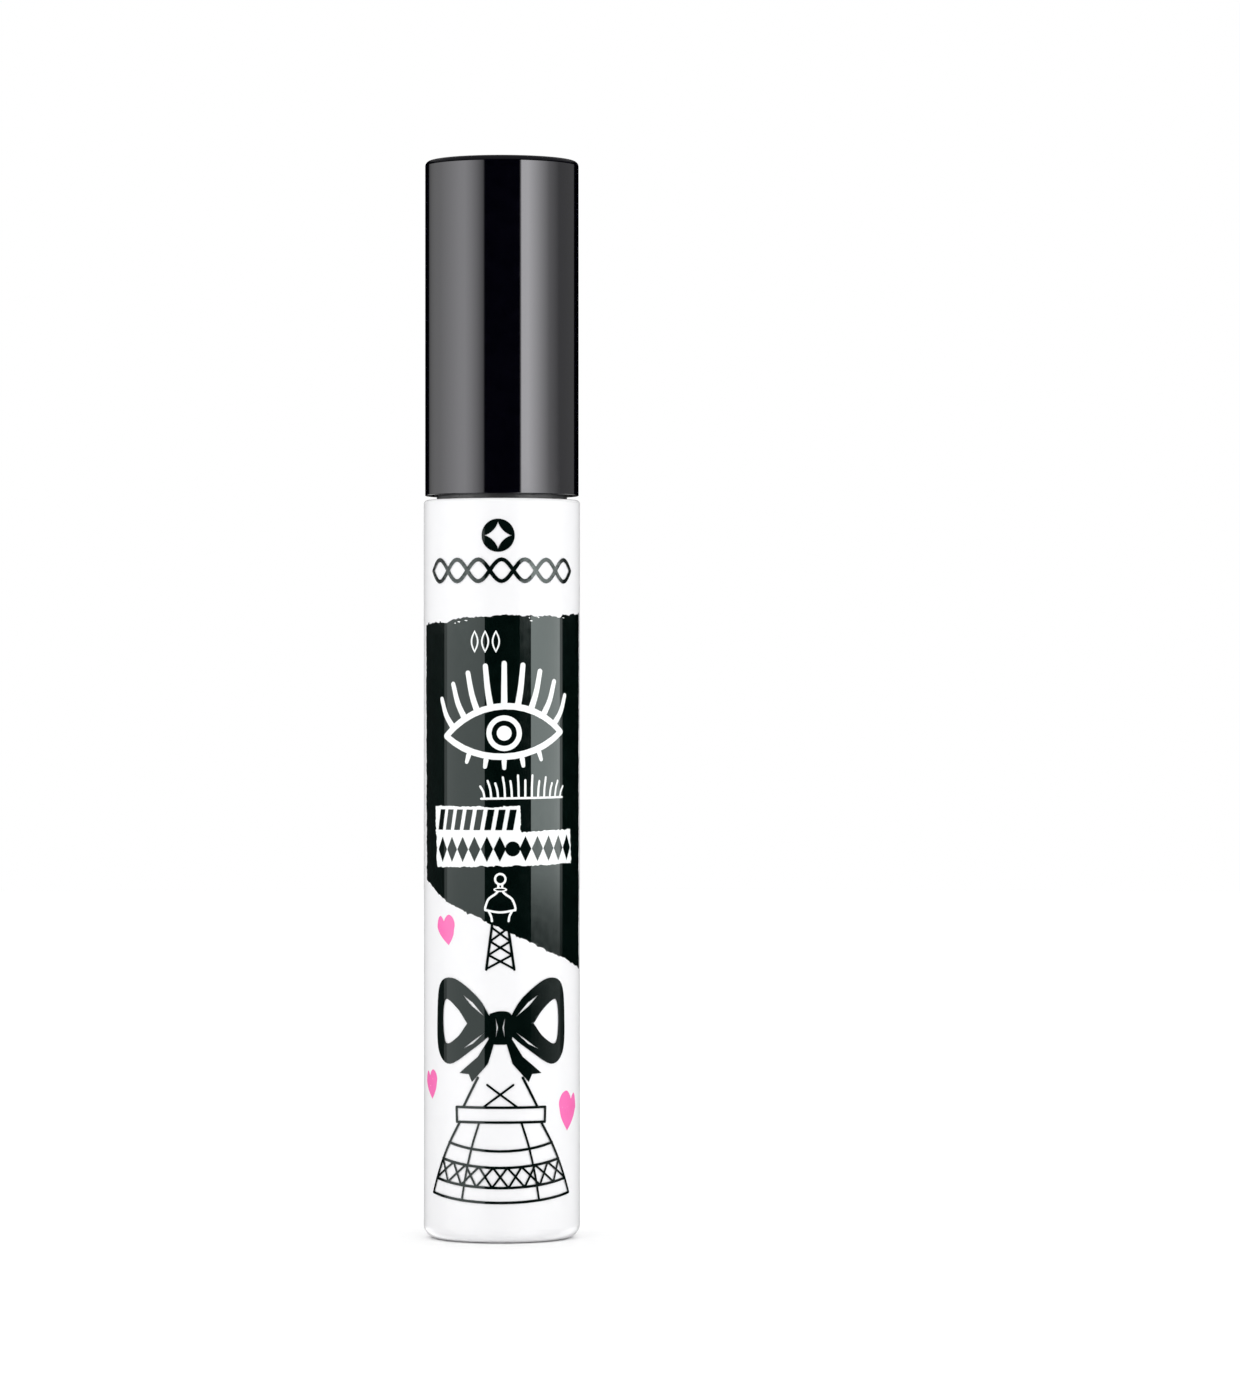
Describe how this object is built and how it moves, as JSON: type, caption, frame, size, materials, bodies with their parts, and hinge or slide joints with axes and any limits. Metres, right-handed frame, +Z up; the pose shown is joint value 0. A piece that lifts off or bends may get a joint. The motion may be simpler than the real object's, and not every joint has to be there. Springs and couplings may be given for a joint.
{
  "type": "mascara tube",
  "caption": "Cylindrical mascara tube with a glossy screw cap that carries a slim rod and a twisted-wire brush, closing a white bottle with a threaded neck and wiper.",
  "frame": {"origin": "centre of the tube's base, on the surface it stands on", "axes": "+Z up the tube towards the cap's top, +Y towards the back of the tube, so the printed front faces -Y"},
  "size_m": [0.0181, 0.018, 0.1247],
  "materials": {
    "white_lacquer": "glossy",
    "dark_polymer": "satin",
    "soft_polymer": "satin",
    "mascara": "wet gloss",
    "label": "satin",
    "retainer_polymer": "satin",
    "cap_gloss": "high gloss",
    "rod_satin": "satin",
    "steel_wire": "bright",
    "fibre": "satin",
    "print_dark": "glossy ink",
    "print_white": "satin ink",
    "print_pink": "satin ink"
  },
  "bodies": {
    "bottle": {"bottle_shell": "white_lacquer", "inner_vial": "dark_polymer", "wiper": "soft_polymer", "formula": "mascara", "base_label": "label"},
    "gasket": {"neck_gasket": "soft_polymer"},
    "retainer": {"rod_retainer": "retainer_polymer"},
    "applicator": {"cap_shell": "cap_gloss", "cap_liner": "dark_polymer", "rod": "rod_satin", "wire_core": "steel_wire", "bristles": "fibre"}
  },
  "joints": [
    {"name": "applicator_pull", "type": "slide", "parent": "bottle", "child": "gasket", "axis": [0, 0, 1], "range_m": [0, 0.096], "deforming": ["bristles", "wiper"]},
    {"name": "cap_rise", "type": "slide", "parent": "gasket", "child": "retainer", "axis": [0, 0, 1], "range_m": [0, 0.0045]},
    {"name": "cap_turn", "type": "hinge", "parent": "retainer", "child": "applicator", "pos_m": [0, 0, 0.1], "axis": [0, 0, 1], "range_deg": [0, 540]}
  ],
  "couplings": [
    {"joint": "cap_rise", "follows": "cap_turn", "m_per_rad": 0.00047746}
  ]
}
